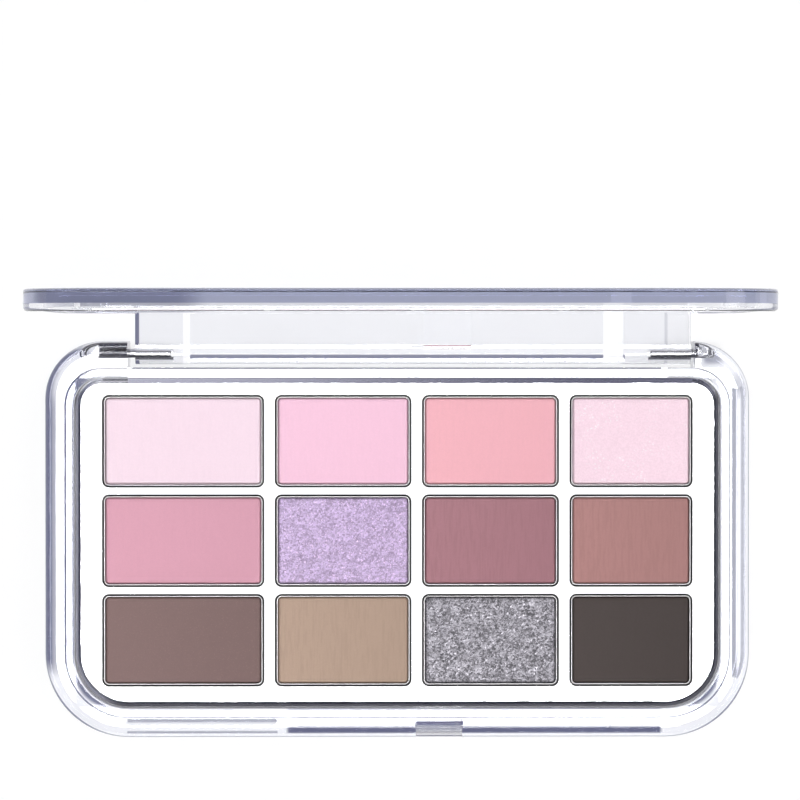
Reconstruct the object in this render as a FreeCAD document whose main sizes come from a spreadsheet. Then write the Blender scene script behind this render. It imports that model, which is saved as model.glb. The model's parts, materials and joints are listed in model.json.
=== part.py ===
import FreeCAD, Part
import math
import os
import Sketcher

# Eyeshadow palette: a clear case with a hinged clear lid, and a tray of twelve pans.
# Frame: X to the right, Y to the hinge, Z up, origin under the middle of the base.
# The lid stands open at a right angle.

os.makedirs("parts", exist_ok=True)
doc = FreeCAD.newDocument("eyeshadow_palette")

# Driving sizes, in millimetres.
SIZES = {
    # Wells of the tray, by column from the left and by row from the hinge
    "col1_width": 32.2,
    "col2_width": 27.15,
    "col3_width": 27.25,
    "col4_width": 24.5,
    "row_depth": 18.4,
    "column_gap": 2.1,
    "row_gap": 1.4,
    "well_radius": 1.4,
    "well_depth": 4.0,
    "well_floor": 1.2,
    # Pans, glue and powder
    "pan_fit": 0.3,
    "pan_height": 3.5,
    "pan_wall": 0.3,
    "pan_bend": 0.5,
    "glue_radius": 4.0,
    "glue_thickness": 0.3,
    "powder_drop": 0.15,
    "powder_bevel_width": 0.7,
    "powder_bevel_height": 0.2,
    # Tray
    "tray_border_side": 5.2,
    "tray_border_front": 4.0,
    "tray_border_rear": 3.3,
    "tray_front_radius": 10.5,
    "tray_rear_radius": 5.3,
    "tray_bevel_width": 1.0,
    "tray_bevel_height": 0.75,
    "tray_wall": 1.2,
    "tray_rib": 1.2,
    "tray_drop": 2.2,
    "tray_fit": 0.15,
    # Base
    "base_height": 12.0,
    "base_floor": 2.0,
    "rim_width": 4.0,
    "rim_round": 2.3,
    "foot_round": 1.5,
    "lip_width": 2.0,
    "lip_height": 1.2,
    "lip_round": 0.4,
    "lip_relief_half": 53.6,
    # Hinge
    "hinge_height": 4.2,
    "knuckle_radius": 2.2,
    "lug_inset": 0.2,
    "notch_clear": 0.6,
    "shoulder_left": 16.4,
    "shoulder_right": 10.9,
    "lug_gap_left": 1.3,
    "lug_gap_right": 0.4,
    "knuckle_left_length": 10.3,
    "knuckle_right_length": 13.2,
    "web_front": 1.4,
    "window_margin": 0.5,
    "window_width": 4.4,
    "window_depth": 1.2,
    "pin_radius": 0.9,
    "pin_running_fit": 0.05,
    "pin_end_clear": 0.5,
    "pin_chamfer": 0.2,
    "shank_length": 8.4,
    "knurl_length": 5.8,
    "knurl_height": 0.1,
    "knurl_groove": 0.12,
    "knurl_pitch": 0.39,
    # Lid
    "lid_plate": 2.7,
    "lid_gap": 0.15,
    "lid_round": 0.5,
    "skirt_depth": 1.5,
    "skirt_fit": 0.35,
    "skirt_round": 0.8,
    # Latch
    "latch_x": 8.3,
    "latch_width": 8.8,
    "latch_thickness": 0.9,
    "latch_inset": 2.3,
    "latch_drop": 7.2,
    "latch_bead": 0.4,
    "latch_bead_rise": 0.6,
    "latch_front_clear": 0.5,
    "latch_swing_clear": 0.8,
    "latch_side_clear": 0.25,
    "latch_tip_clear": 0.6,
    "catch_depth": 0.3,
    "catch_gap": 0.15,
}

# Places and sizes that follow from the driving sizes.
LAYOUT = {
    # Grid of wells
    "grid_half_width": "(Sizes.col1_width + Sizes.col2_width + Sizes.col3_width"
                       " + Sizes.col4_width + 3 * Sizes.column_gap) / 2",
    "grid_half_depth": "(3 * Sizes.row_depth + 2 * Sizes.row_gap) / 2",
    "row_step": "Sizes.row_depth + Sizes.row_gap",
    "col1_x": "Sizes.col1_width / 2 - grid_half_width",
    "col2_x": "col1_x + (Sizes.col1_width + Sizes.col2_width) / 2 + Sizes.column_gap",
    "col3_x": "col2_x + (Sizes.col2_width + Sizes.col3_width) / 2 + Sizes.column_gap",
    "col4_x": "col3_x + (Sizes.col3_width + Sizes.col4_width) / 2 + Sizes.column_gap",
    # Walls around the tray
    "wall": "Sizes.rim_width + Sizes.lip_width + Sizes.tray_fit",
    "hinge_inset": "Sizes.knuckle_radius + Sizes.lug_inset",
    "rear_rim": "hinge_inset + Sizes.knuckle_radius + Sizes.notch_clear",
    "rear_wall": "rear_rim + Sizes.lip_width + Sizes.tray_fit",
    # Tray, in its own frame
    "tray_half_width": "grid_half_width + Sizes.tray_border_side",
    "tray_half_depth": "grid_half_depth + (Sizes.tray_border_front + Sizes.tray_border_rear) / 2",
    "tray_y": "(wall - rear_wall) / 2",
    "grid_y": "(Sizes.tray_border_front - Sizes.tray_border_rear) / 2",
    "lip_top": "Sizes.base_height + Sizes.lip_height",
    "tray_height": "lip_top - Sizes.tray_drop - Sizes.base_floor",
    "hollow_height": "tray_height - Sizes.well_depth - Sizes.well_floor",
    "hollow_half_width": "tray_half_width - Sizes.tray_wall",
    "hollow_half_depth": "tray_half_depth - Sizes.tray_wall",
    "hollow_front_radius": "Sizes.tray_front_radius - Sizes.tray_wall",
    "hollow_rear_radius": "Sizes.tray_rear_radius - Sizes.tray_wall",
    "rib_low": "grid_y - (row_step + Sizes.tray_rib) / 2",
    "rib_high": "grid_y - (row_step - Sizes.tray_rib) / 2",
    "well_low": "grid_y - grid_half_depth",
    "well_high": "well_low + Sizes.row_depth",
    "wells_reach": "2 * row_step",
    # Rows of pans, in the palette's frame
    "row1_y": "row2_y + row_step",
    "row2_y": "tray_y + grid_y",
    "row3_y": "row2_y - row_step",
    "well_floor_z": "Sizes.base_floor + tray_height - Sizes.well_depth",
    "pan_z": "well_floor_z + Sizes.glue_thickness",
    "pan_half_depth": "Sizes.row_depth / 2 - Sizes.pan_fit",
    "pan_radius": "Sizes.well_radius - Sizes.pan_fit",
    "pan_inside_depth": "Sizes.pan_height - Sizes.pan_wall",
    "powder_half_depth": "pan_half_depth - Sizes.pan_wall",
    "powder_radius": "pan_radius - Sizes.pan_wall",
    "powder_z": "pan_z + Sizes.pan_wall",
    "powder_height": "pan_inside_depth - Sizes.powder_drop",
    # Base
    "base_half_width": "tray_half_width + wall",
    "base_half_depth": "tray_half_depth + (wall + rear_wall) / 2",
    "base_front_radius": "Sizes.tray_front_radius + wall",
    "base_rear_radius": "Sizes.tray_rear_radius + wall",
    "pocket_half_width": "tray_half_width + Sizes.tray_fit",
    "pocket_low": "tray_y - tray_half_depth - Sizes.tray_fit",
    "pocket_high": "tray_y + tray_half_depth + Sizes.tray_fit",
    "pocket_front_radius": "Sizes.tray_front_radius + Sizes.tray_fit",
    "pocket_rear_radius": "Sizes.tray_rear_radius + Sizes.tray_fit",
    "pocket_depth": "lip_top - Sizes.base_floor",
    "lip_half_width": "pocket_half_width + Sizes.lip_width",
    "lip_low": "pocket_low - Sizes.lip_width",
    "lip_high": "pocket_high + Sizes.lip_width",
    "lip_front_radius": "pocket_front_radius + Sizes.lip_width",
    "lip_rear_radius": "pocket_rear_radius + Sizes.lip_width",
    # Hinge
    "hinge_y": "base_half_depth - hinge_inset",
    "notch_left": "Sizes.shoulder_left - base_half_width",
    "notch_right": "base_half_width - Sizes.shoulder_right",
    "notch_low": "base_half_depth - rear_rim",
    "notch_high": "base_half_depth + Sizes.rim_width",
    "knurl_radius": "Sizes.pin_radius + Sizes.knurl_height",
    "lug_left": "notch_left + Sizes.lug_gap_left",
    "lug_right": "notch_right - Sizes.lug_gap_right",
    "lug_length": "lug_right - lug_left",
    "right_knuckle_x": "lug_right - Sizes.knuckle_right_length",
    "lug_bore_radius": "Sizes.pin_radius + Sizes.pin_running_fit",
    "left_bore_depth": "Sizes.shank_length - Sizes.lug_gap_left + Sizes.pin_end_clear",
    "right_bore_depth": "Sizes.shank_length - Sizes.lug_gap_right + Sizes.pin_end_clear",
    # Lid, in its own frame: closed, with the hinge axis through the origin
    "lid_low": "-base_half_depth - hinge_y",
    "lid_high": "hinge_inset",
    "skirt_z": "Sizes.base_height + Sizes.lid_gap - Sizes.hinge_height",
    "lid_thickness": "Sizes.skirt_depth + Sizes.lid_plate",
    "recess_half_width": "lip_half_width + Sizes.skirt_fit",
    "recess_low": "lip_low - Sizes.skirt_fit - hinge_y",
    "recess_high": "lip_high + Sizes.skirt_fit - hinge_y",
    "recess_front_radius": "lip_front_radius + Sizes.skirt_fit",
    "recess_rear_radius": "lip_rear_radius + Sizes.skirt_fit",
    "lug_top": "skirt_z + Sizes.skirt_depth + Sizes.lid_plate / 2",
    "window_right": "lug_right - Sizes.window_margin",
    "window_left": "window_right - Sizes.window_width",
    "window_low": "lug_bore_radius + Sizes.window_margin",
    "window_high": "skirt_z - Sizes.window_margin",
    # Latch: the tongue in the lid's frame, the slot in the palette's frame
    "latch_left": "Sizes.latch_x - Sizes.latch_width / 2",
    "latch_right": "Sizes.latch_x + Sizes.latch_width / 2",
    "tongue_front": "lid_low + Sizes.latch_inset",
    "tongue_rear": "tongue_front + Sizes.latch_thickness",
    "tongue_tip_z": "skirt_z - Sizes.latch_drop",
    "tongue_length": "Sizes.latch_drop + Sizes.skirt_depth / 2",
    "bead_z": "tongue_tip_z + Sizes.latch_bead_rise",
    "slot_left": "latch_left - Sizes.latch_side_clear",
    "slot_right": "latch_right + Sizes.latch_side_clear",
    "slot_low": "Sizes.latch_inset - Sizes.latch_front_clear - base_half_depth",
    "slot_high": "Sizes.latch_inset + Sizes.latch_thickness + Sizes.latch_swing_clear"
                 " - base_half_depth",
    "slot_depth": "Sizes.latch_drop - Sizes.lid_gap + Sizes.latch_tip_clear",
    "slot_floor_z": "Sizes.base_height - slot_depth",
    "catch_low": "slot_low - Sizes.catch_depth",
    "catch_height": "Sizes.latch_tip_clear + Sizes.latch_bead_rise + Sizes.latch_bead"
                    " + Sizes.catch_gap",
}

COLUMNS = (1, 2, 3, 4)
for column in COLUMNS:
    LAYOUT[f"well{column}_left"] = f"col{column}_x - Sizes.col{column}_width / 2"
    LAYOUT[f"well{column}_right"] = f"col{column}_x + Sizes.col{column}_width / 2"
    LAYOUT[f"pan{column}_half_width"] = f"Sizes.col{column}_width / 2 - Sizes.pan_fit"
    LAYOUT[f"powder{column}_half_width"] = f"pan{column}_half_width - Sizes.pan_wall"

# Shades by row from the hinge and by column from the left.
SHADES = (
    ("pale_pink", "light_pink", "salmon_pink", "pink_shimmer"),
    ("rose", "lilac_glitter", "mauve", "rosy_brown"),
    ("taupe_brown", "beige_tan", "silver_glitter", "dark_brown"),
)
OPEN_ANGLE = 90.0
SAME_PLACE = 1e-4


def make_sheet(name, cells):
    """Put named cells in a sheet, one to a row."""
    sheet = doc.addObject("Spreadsheet::Sheet", name)
    for row, (alias, content) in enumerate(cells.items(), start=1):
        sheet.set(f"A{row}", alias)
        sheet.set(f"B{row}", content)
        sheet.setAlias(f"B{row}", alias)
    doc.recompute()
    return sheet


sizes = make_sheet("Sizes", {alias: str(size) for alias, size in SIZES.items()})
layout = make_sheet("Layout", {alias: "=" + formula for alias, formula in LAYOUT.items()})


def ref(name):
    """The expression for a named size, which may have a minus sign before it."""
    alias = name.lstrip("-")
    sheet = "Sizes" if alias in SIZES else "Layout"
    sign = "-" if name.startswith("-") else ""
    return f"{sign}{sheet}.{alias}"


def number(name):
    """The present value of a named size, which may have a minus sign before it."""
    alias = name.lstrip("-")
    sheet = sizes if alias in SIZES else layout
    sign = -1.0 if name.startswith("-") else 1.0
    return sign * float(sheet.get(alias))


def vector(x, y, z=0.0):
    return FreeCAD.Vector(x, y, z)


def new_body(label):
    body = doc.addObject("PartDesign::Body", label)
    body.Label = label
    return body


def origin_feature(body, role):
    return next(item for item in body.Origin.OriginFeatures if item.Role == role)


def new_sketch(body, name, plane="XY_Plane", offset=None):
    """A sketch on one of the body's own planes, moved along the plane's normal."""
    sketch = body.newObject("Sketcher::SketchObject", name)
    sketch.AttachmentSupport = [(origin_feature(body, plane), "")]
    sketch.MapMode = "FlatFace"
    if offset:
        sketch.setExpression("AttachmentOffset.Base.z", ref(offset))
    return sketch


def name_constraint(sketch, constraint, label, name):
    """Add a dimension and bind it to a named size."""
    index = sketch.addConstraint(constraint)
    sketch.renameConstraint(index, label)
    sketch.setExpression(f"Constraints.{label}", ref(name))


def place_sides(sketch, sides):
    """Bind the four sides, given as line number, direction, label and named size."""
    for line, direction, label, name in sides:
        constraint = Sketcher.Constraint(direction, -1, 1, line, 1, number(name))
        name_constraint(sketch, constraint, label, name)


def rectangle(sketch, left, right, low, high):
    """A rectangle between four named places."""
    x0, x1, y0, y1 = number(left), number(right), number(low), number(high)
    corners = [vector(x0, y0), vector(x1, y0), vector(x1, y1), vector(x0, y1)]
    for start, end in zip(corners, corners[1:] + corners[:1]):
        sketch.addGeometry(Part.LineSegment(start, end))
    for line in range(4):
        sketch.addConstraint(Sketcher.Constraint("Coincident", line, 2, (line + 1) % 4, 1))
    for line in (0, 2):
        sketch.addConstraint(Sketcher.Constraint("Horizontal", line))
        sketch.addConstraint(Sketcher.Constraint("Vertical", line + 1))
    place_sides(sketch, (
        (0, "DistanceY", "low", low),
        (1, "DistanceX", "right", right),
        (2, "DistanceY", "high", high),
        (3, "DistanceX", "left", left),
    ))


def rounded_rectangle(sketch, left, right, low, high, low_radius, high_radius):
    """A rectangle with one radius at its two low corners and one at its two high corners."""
    x0, x1, y0, y1 = number(left), number(right), number(low), number(high)
    rl, rh = number(low_radius), number(high_radius)
    up = vector(0, 0, 1)
    quarter = math.pi / 2

    def corner(x, y, radius, turn):
        circle = Part.Circle(vector(x, y), up, radius)
        return Part.ArcOfCircle(circle, turn * quarter, (turn + 1) * quarter)

    sketch.addGeometry(Part.LineSegment(vector(x0 + rl, y0), vector(x1 - rl, y0)))
    sketch.addGeometry(corner(x1 - rl, y0 + rl, rl, -1))
    sketch.addGeometry(Part.LineSegment(vector(x1, y0 + rl), vector(x1, y1 - rh)))
    sketch.addGeometry(corner(x1 - rh, y1 - rh, rh, 0))
    sketch.addGeometry(Part.LineSegment(vector(x1 - rh, y1), vector(x0 + rh, y1)))
    sketch.addGeometry(corner(x0 + rh, y1 - rh, rh, 1))
    sketch.addGeometry(Part.LineSegment(vector(x0, y1 - rh), vector(x0, y0 + rl)))
    sketch.addGeometry(corner(x0 + rl, y0 + rl, rl, 2))
    for item in range(8):
        sketch.addConstraint(Sketcher.Constraint("Tangent", item, 2, (item + 1) % 8, 1))
    for line in (0, 4):
        sketch.addConstraint(Sketcher.Constraint("Horizontal", line))
        sketch.addConstraint(Sketcher.Constraint("Vertical", line + 2))
    sketch.addConstraint(Sketcher.Constraint("Equal", 1, 7))
    sketch.addConstraint(Sketcher.Constraint("Equal", 3, 5))
    name_constraint(sketch, Sketcher.Constraint("Radius", 1, rl), "low_radius", low_radius)
    name_constraint(sketch, Sketcher.Constraint("Radius", 3, rh), "high_radius", high_radius)
    place_sides(sketch, (
        (0, "DistanceY", "low", low),
        (2, "DistanceX", "right", right),
        (4, "DistanceY", "high", high),
        (6, "DistanceX", "left", left),
    ))


def circle(sketch, radius, x=None, y=None):
    """A circle at the sketch's origin, or at named places along its axes."""
    cx = number(x) if x else 0.0
    cy = number(y) if y else 0.0
    sketch.addGeometry(Part.Circle(vector(cx, cy), vector(0, 0, 1), number(radius)))
    name_constraint(sketch, Sketcher.Constraint("Radius", 0, number(radius)), "radius", radius)
    for axis, name, label in (("X", x, "across"), ("Y", y, "up")):
        if name:
            constraint = Sketcher.Constraint(f"Distance{axis}", -1, 1, 0, 3, number(name))
            name_constraint(sketch, constraint, label, name)
        else:
            line = -2 if axis == "X" else -1
            sketch.addConstraint(Sketcher.Constraint("PointOnObject", 0, 3, line))


def lug_profile(sketch, front, radius, top):
    """A slab standing on an arc about the hinge axis, with its rear face tangent to the arc.

    Without a named front the slab is as thick as the arc is wide.
    """
    r, z = number(radius), number(top)
    x = number(front) if front else -r
    foot = vector(x, -math.sqrt(max(r * r - x * x, 0.0)))
    start = math.atan2(foot.y, foot.x) if front else math.pi
    turn = start % (2 * math.pi)
    arc = Part.ArcOfCircle(Part.Circle(vector(0, 0), vector(0, 0, 1), r), turn, 2 * math.pi)
    sketch.addGeometry(Part.LineSegment(vector(x, z), foot))
    sketch.addGeometry(arc)
    sketch.addGeometry(Part.LineSegment(vector(r, 0), vector(r, z)))
    sketch.addGeometry(Part.LineSegment(vector(r, z), vector(x, z)))
    sketch.addConstraint(Sketcher.Constraint("Coincident", 1, 3, -1, 1))
    sketch.addConstraint(Sketcher.Constraint("Tangent", 1, 2, 2, 1))
    sketch.addConstraint(Sketcher.Constraint("Coincident", 2, 2, 3, 1))
    sketch.addConstraint(Sketcher.Constraint("Coincident", 3, 2, 0, 1))
    sketch.addConstraint(Sketcher.Constraint("Vertical", 2))
    sketch.addConstraint(Sketcher.Constraint("Vertical", 0))
    sketch.addConstraint(Sketcher.Constraint("Horizontal", 3))
    name_constraint(sketch, Sketcher.Constraint("Radius", 1, r), "radius", radius)
    height = Sketcher.Constraint("DistanceY", -1, 1, 3, 1, z)
    name_constraint(sketch, height, "top", top)
    if front:
        sketch.addConstraint(Sketcher.Constraint("Coincident", 0, 2, 1, 1))
        face = Sketcher.Constraint("DistanceX", -1, 1, 0, 1, x)
        name_constraint(sketch, face, "front", front)
    else:
        sketch.addConstraint(Sketcher.Constraint("Tangent", 0, 2, 1, 1))


def extrude(kind, sketch, length, reverse=False):
    """A Pad or a Pocket of a named length, or a Pocket through everything."""
    body = sketch.getParentGeoFeatureGroup()
    feature = body.newObject(f"PartDesign::{kind}", f"{kind}_{sketch.Name}")
    feature.Profile = sketch
    feature.Reversed = reverse
    if length:
        feature.setExpression("Length", ref(length))
    else:
        feature.Type = "ThroughAll"
    body.Tip = feature
    volume = feature.BaseFeature.Shape.Volume if feature.BaseFeature else 0.0
    doc.recompute()
    change = feature.Shape.Volume - volume
    if (change <= 0) if kind == "Pad" else (change >= 0):
        raise RuntimeError(f"{feature.Name} changes nothing")
    return feature


def pad(sketch, length, reverse=False):
    return extrude("Pad", sketch, length, reverse)


def pocket(sketch, length=None, reverse=False):
    return extrude("Pocket", sketch, length, reverse)


def edges_at(feature, axis, place):
    """Names of the edges that lie in one plane across an axis."""
    found = []
    for index, edge in enumerate(feature.Shape.Edges, start=1):
        box = edge.BoundBox
        low, high = (getattr(box, axis + end) for end in ("Min", "Max"))
        if abs(low - place) < SAME_PLACE and abs(high - place) < SAME_PLACE:
            found.append(f"Edge{index}")
    return found


def dress(kind, feature, edges, setting, name):
    """A Fillet or a Chamfer of a named size on a feature's edges."""
    body = feature.getParentGeoFeatureGroup()
    dressed = body.newObject(f"PartDesign::{kind}", f"{kind}_{feature.Name}")
    dressed.Base = (feature, edges)
    dressed.setExpression(setting, ref(name))
    body.Tip = dressed
    doc.recompute()
    return dressed


def fillet(feature, edges, radius):
    return dress("Fillet", feature, edges, "Radius", radius)


def chamfer(feature, edges, size):
    return dress("Chamfer", feature, edges, "Size", size)


def bevel(feature, edges, height, width):
    """A chamfer of two named sizes round a top face."""
    cut = chamfer(feature, edges, height)
    cut.ChamferType = "Two distances"
    cut.setExpression("Size2", ref(width))
    doc.recompute()
    return cut


def repeat(kind, feature, settings):
    """A pattern of one feature, with its settings."""
    body = feature.getParentGeoFeatureGroup()
    pattern = body.newObject(f"PartDesign::{kind}", f"{kind}_{feature.Name}")
    pattern.Originals = [feature]
    for setting, chosen in settings.items():
        setattr(pattern, setting, chosen)
    body.Tip = pattern
    return pattern


def repeat_rows(feature, reach, rows):
    """Copies of a feature along Y, evenly spaced over a named reach."""
    body = feature.getParentGeoFeatureGroup()
    axis = (origin_feature(body, "Y_Axis"), [""])
    pattern = repeat("LinearPattern", feature, {"Direction": axis, "Occurrences": rows})
    pattern.setExpression("Length", ref(reach))
    doc.recompute()
    return pattern


def place(item, x=None, y=None, z=None):
    """Bind a piece's place to named sizes."""
    for axis, name in (("x", x), ("y", y), ("z", z)):
        if name:
            item.setExpression(f"Placement.Base.{axis}", ref(name))


def make_base_shell():
    """Clear base: solid walls, a raised lip, a well for the tray, hinge notch and latch slot."""
    body = new_body("base_shell")
    outline = new_sketch(body, "base_outline")
    rounded_rectangle(outline, "-base_half_width", "base_half_width", "-base_half_depth",
                      "base_half_depth", "base_front_radius", "base_rear_radius")
    block = pad(outline, "base_height")
    rim = fillet(block, edges_at(block, "Z", number("base_height")), "rim_round")
    fillet(rim, edges_at(rim, "Z", 0.0), "foot_round")

    lip_outline = new_sketch(body, "lip_outline", offset="base_height")
    rounded_rectangle(lip_outline, "-lip_half_width", "lip_half_width", "lip_low", "lip_high",
                      "lip_front_radius", "lip_rear_radius")
    pad(lip_outline, "lip_height")
    tray_pocket = new_sketch(body, "tray_pocket", offset="lip_top")
    rounded_rectangle(tray_pocket, "-pocket_half_width", "pocket_half_width", "pocket_low",
                      "pocket_high", "pocket_front_radius", "pocket_rear_radius")
    well = pocket(tray_pocket, "pocket_depth")
    fillet(well, edges_at(well, "Z", number("lip_top")), "lip_round")

    lip_relief = new_sketch(body, "lip_relief", offset="lip_top")
    rectangle(lip_relief, "-lip_relief_half", "lip_relief_half", "tray_y", "notch_high")
    pocket(lip_relief, "lip_height")
    hinge_notch = new_sketch(body, "hinge_notch", offset="lip_top")
    rectangle(hinge_notch, "notch_left", "notch_right", "notch_low", "notch_high")
    pocket(hinge_notch)

    latch_slot = new_sketch(body, "latch_slot", offset="base_height")
    rectangle(latch_slot, "slot_left", "slot_right", "slot_low", "slot_high")
    pocket(latch_slot, "slot_depth")
    catch = new_sketch(body, "catch", offset="slot_floor_z")
    rectangle(catch, "slot_left", "slot_right", "catch_low", "slot_high")
    pocket(catch, "catch_height", reverse=True)

    for side, reverse in (("left", False), ("right", True)):
        hole = new_sketch(body, f"{side}_pin_hole", "YZ_Plane", f"notch_{side}")
        circle(hole, "knurl_radius", "hinge_y", "hinge_height")
        pocket(hole, reverse=reverse)
    return body


def make_tray():
    """Metallised tray: bevelled edge, twelve wells, and a hollow underside with two ribs."""
    body = new_body("tray")
    place(body, y="tray_y", z="base_floor")
    outline = new_sketch(body, "tray_outline")
    rounded_rectangle(outline, "-tray_half_width", "tray_half_width", "-tray_half_depth",
                      "tray_half_depth", "tray_front_radius", "tray_rear_radius")
    block = pad(outline, "tray_height")
    edges = edges_at(block, "Z", number("tray_height"))
    bevel(block, edges, "tray_bevel_height", "tray_bevel_width")

    hollow = new_sketch(body, "hollow")
    rounded_rectangle(hollow, "-hollow_half_width", "hollow_half_width", "-hollow_half_depth",
                      "hollow_half_depth", "hollow_front_radius", "hollow_rear_radius")
    pocket(hollow, "hollow_height", reverse=True)
    rib = new_sketch(body, "rib")
    rectangle(rib, "-hollow_half_width", "hollow_half_width", "rib_low", "rib_high")
    repeat_rows(pad(rib, "hollow_height"), "row_step", len(SHADES) - 1)

    for column in COLUMNS:
        well = new_sketch(body, f"well{column}", offset="tray_height")
        rounded_rectangle(well, f"well{column}_left", f"well{column}_right", "well_low",
                          "well_high", "well_radius", "well_radius")
        repeat_rows(pocket(well, "well_depth"), "wells_reach", len(SHADES))
    return body


def make_pan(label, column, row):
    """Pressed metal pan: thin walls and floor, with a rounded bend at the foot."""
    body = new_body(label)
    place(body, f"col{column}_x", f"row{row}_y", "pan_z")
    outline = new_sketch(body, f"{label}_outline")
    rounded_rectangle(outline, f"-pan{column}_half_width", f"pan{column}_half_width",
                      "-pan_half_depth", "pan_half_depth", "pan_radius", "pan_radius")
    block = pad(outline, "pan_height")
    fillet(block, edges_at(block, "Z", 0.0), "pan_bend")
    inside = new_sketch(body, f"{label}_inside", offset="pan_height")
    rounded_rectangle(inside, f"-powder{column}_half_width", f"powder{column}_half_width",
                      "-powder_half_depth", "powder_half_depth", "powder_radius", "powder_radius")
    pocket(inside, "pan_inside_depth")
    return body


def make_powder(label, column, row):
    """Pressed powder cake: fills its pan, with a low bevel round its top."""
    body = new_body(label)
    place(body, f"col{column}_x", f"row{row}_y", "powder_z")
    outline = new_sketch(body, f"{label}_outline")
    rounded_rectangle(outline, f"-powder{column}_half_width", f"powder{column}_half_width",
                      "-powder_half_depth", "powder_half_depth", "powder_radius", "powder_radius")
    cake = pad(outline, "powder_height")
    edges = edges_at(cake, "Z", number("powder_height"))
    bevel(cake, edges, "powder_bevel_height", "powder_bevel_width")
    return body


def make_glue_dots():
    """One dot of glue on the floor of each well."""
    dots = []
    for row, shades in enumerate(SHADES, start=1):
        for column, shade in enumerate(shades, start=1):
            dot = doc.addObject("Part::Cylinder", f"glue_{shade}")
            dot.setExpression("Radius", ref("glue_radius"))
            dot.setExpression("Height", ref("glue_thickness"))
            place(dot, f"col{column}_x", f"row{row}_y", "well_floor_z")
            dots.append(dot)
    group = doc.addObject("Part::Compound", "pan_glue_dots")
    group.Label = "pan_glue_dots"
    group.Links = dots
    return group


def make_lid():
    """Clear lid: plate and skirt, hinge lug with two knuckles and a window, latch tongue."""
    body = new_body("lid")
    opened = FreeCAD.Rotation(vector(1, 0, 0), -OPEN_ANGLE)
    body.Placement = FreeCAD.Placement(vector(0, 0), opened)
    place(body, y="hinge_y", z="hinge_height")
    outline = new_sketch(body, "lid_outline", offset="skirt_z")
    rounded_rectangle(outline, "-base_half_width", "base_half_width", "lid_low", "lid_high",
                      "base_front_radius", "base_rear_radius")
    plate = pad(outline, "lid_thickness")
    top = number("skirt_z") + number("lid_thickness")
    rounded = fillet(plate, edges_at(plate, "Z", top), "lid_round")
    fillet(rounded, edges_at(rounded, "Z", number("skirt_z")), "skirt_round")
    recess = new_sketch(body, "lid_recess", offset="skirt_z")
    rounded_rectangle(recess, "-recess_half_width", "recess_half_width", "recess_low",
                      "recess_high", "recess_front_radius", "recess_rear_radius")
    pocket(recess, "skirt_depth", reverse=True)

    for name, start, length, front in (
        ("lug_web", "lug_left", "lug_length", "-web_front"),
        ("left_knuckle", "lug_left", "knuckle_left_length", None),
        ("right_knuckle", "right_knuckle_x", "knuckle_right_length", None),
    ):
        profile = new_sketch(body, name, "YZ_Plane", start)
        lug_profile(profile, front, "knuckle_radius", "lug_top")
        pad(profile, length)
    window = new_sketch(body, "lug_window", "XZ_Plane", "knuckle_radius")
    rectangle(window, "window_left", "window_right", "window_low", "window_high")
    pocket(window, "window_depth")
    for side, reverse in (("left", True), ("right", False)):
        bore = new_sketch(body, f"{side}_lug_bore", "YZ_Plane", f"lug_{side}")
        circle(bore, "lug_bore_radius")
        pocket(bore, f"{side}_bore_depth", reverse)

    tongue = new_sketch(body, "latch_tongue", offset="tongue_tip_z")
    rectangle(tongue, "latch_left", "latch_right", "tongue_front", "tongue_rear")
    pad(tongue, "tongue_length")
    bead = new_sketch(body, "latch_bead", "YZ_Plane", "latch_left")
    circle(bead, "latch_bead", "tongue_front", "bead_z")
    pad(bead, "latch_width")
    return body


def make_hinge_pin(side):
    """Steel pin: a smooth shank towards the lid and a grooved end for the base."""
    body = new_body(f"hinge_pin_{side}")
    turn = 0.0 if side == "left" else 180.0
    rotation = FreeCAD.Rotation(vector(0, 0, 1), turn)
    body.Placement = FreeCAD.Placement(vector(0, 0), rotation)
    place(body, f"notch_{side}", "hinge_y", "hinge_height")
    shank = new_sketch(body, f"{side}_shank", "YZ_Plane")
    circle(shank, "pin_radius")
    shaft = pad(shank, "shank_length")
    chamfer(shaft, edges_at(shaft, "X", number("shank_length")), "pin_chamfer")
    grip = new_sketch(body, f"{side}_grip", "YZ_Plane")
    circle(grip, "knurl_radius")
    end = pad(grip, "knurl_length", reverse=True)
    chamfer(end, edges_at(end, "X", -number("knurl_length")), "pin_chamfer")
    groove = new_sketch(body, f"{side}_groove", "YZ_Plane")
    circle(groove, "knurl_groove", "knurl_radius")
    cut = pocket(groove, "knurl_length")
    axis = (origin_feature(body, "X_Axis"), [""])
    grooves = round(2 * math.pi * number("knurl_radius") / number("knurl_pitch"))
    repeat("PolarPattern", cut, {"Axis": axis, "Angle": 360.0, "Occurrences": grooves})
    return body


pieces = [make_base_shell(), make_tray(), make_glue_dots()]
for row, shades in enumerate(SHADES, start=1):
    for column, shade in enumerate(shades, start=1):
        pieces.append(make_pan(f"pan_{shade}", column, row))
        pieces.append(make_powder(f"powder_{shade}", column, row))
pieces.append(make_lid())
for side in ("left", "right"):
    pieces.append(make_hinge_pin(side))
doc.recompute()

for item in doc.Objects:
    if "Invalid" in item.State or "Error" in item.State:
        raise RuntimeError(f"{item.Label} failed: {item.State}")
for piece in pieces:
    if piece.Shape.isNull() or not piece.Shape.isValid():
        raise RuntimeError(f"{piece.Label} has no valid shape")
for piece in pieces:
    piece.Shape.exportStep(f"parts/{piece.Label}.step")
    print(f"{piece.Label}: {len(piece.Shape.Solids)} solids, {piece.Shape.Volume:.1f} mm3")
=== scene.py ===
import json
import math

import bmesh
import bpy
from bpy.props import FloatProperty, FloatVectorProperty, PointerProperty
from mathutils import Matrix, Vector, noise


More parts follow.
